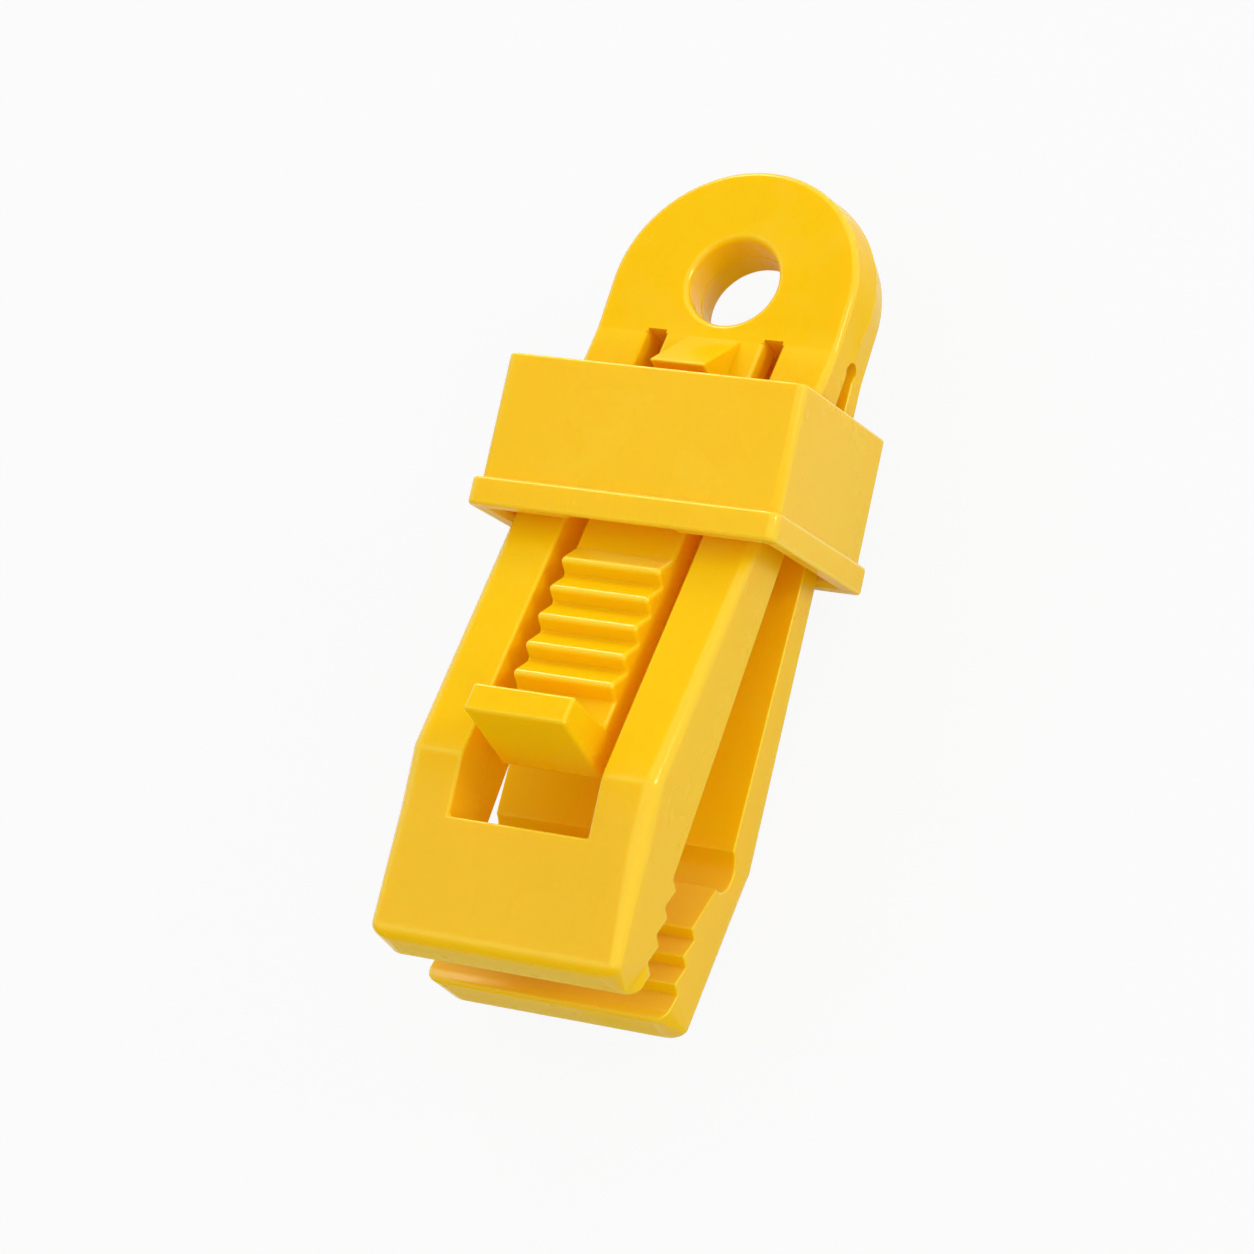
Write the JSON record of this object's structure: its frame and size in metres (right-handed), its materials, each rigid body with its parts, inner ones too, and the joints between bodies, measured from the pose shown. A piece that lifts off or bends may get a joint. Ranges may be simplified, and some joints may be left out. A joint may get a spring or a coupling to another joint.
{
  "type": "tarp clip",
  "caption": "Plastic tarp clip with an eyelet, springy toothed jaws, a ratchet tongue with a thumb tab and a loose collar that slides down to lock the jaws shut.",
  "frame": {"origin": "middle of the box that the clip fills, at its underside, where the rear jaw's knee rests", "axes": "+Y along the clip towards the eyelet, +Z out of the front face with the thumb tab, +X to the right seen from the front"},
  "size_m": [0.0328, 0.0848, 0.0305],
  "materials": {
    "body_plastic": "smooth injection-moulded yellow plastic, slightly translucent",
    "collar_plastic": "smooth injection-moulded yellow plastic, slightly translucent, lightly scuffed"
  },
  "bodies": {
    "head": {"eyelet_head": "body_plastic"},
    "front_jaw": {"front_left_rail": "body_plastic", "front_right_rail": "body_plastic", "front_grip": "body_plastic"},
    "rear_jaw": {"rear_arm": "body_plastic", "rear_grip": "body_plastic"},
    "tongue": {"ratchet_tongue": "body_plastic", "ratchet_rack": "body_plastic", "thumb_tab": "body_plastic", "stop_wedge": "body_plastic"},
    "collar": {"collar_sleeve": "collar_plastic", "collar_flange": "collar_plastic", "collar_pawl": "collar_plastic"}
  },
  "joints": [
    {"name": "collar_slide", "type": "slide", "parent": "rear_jaw", "child": "collar", "axis": [0, -0.9851, -0.1719], "range_m": [-0.004, 0.012]},
    {"name": "front_jaw_flex", "type": "hinge", "parent": "head", "child": "front_jaw", "pos_m": [0, 0.01885, 0.01378], "axis": [1, 0, 0], "range_deg": [-1.05, 3.05]},
    {"name": "rear_jaw_flex", "type": "hinge", "parent": "head", "child": "rear_jaw", "pos_m": [0, 0.01885, 0.01078], "axis": [-1, 0, 0], "range_deg": [-1.05, 3.05]},
    {"name": "tongue_press", "type": "hinge", "parent": "front_jaw", "child": "tongue", "pos_m": [0, 0.01885, 0.01378], "axis": [1, 0, 0], "range_deg": [0, 6], "stiffness_Nm_per_rad": 0.8}
  ],
  "couplings": [
    {"joint": "front_jaw_flex", "follows": "collar_slide", "rad_per_m": 4.3633},
    {"joint": "rear_jaw_flex", "follows": "collar_slide", "rad_per_m": 4.3633}
  ]
}
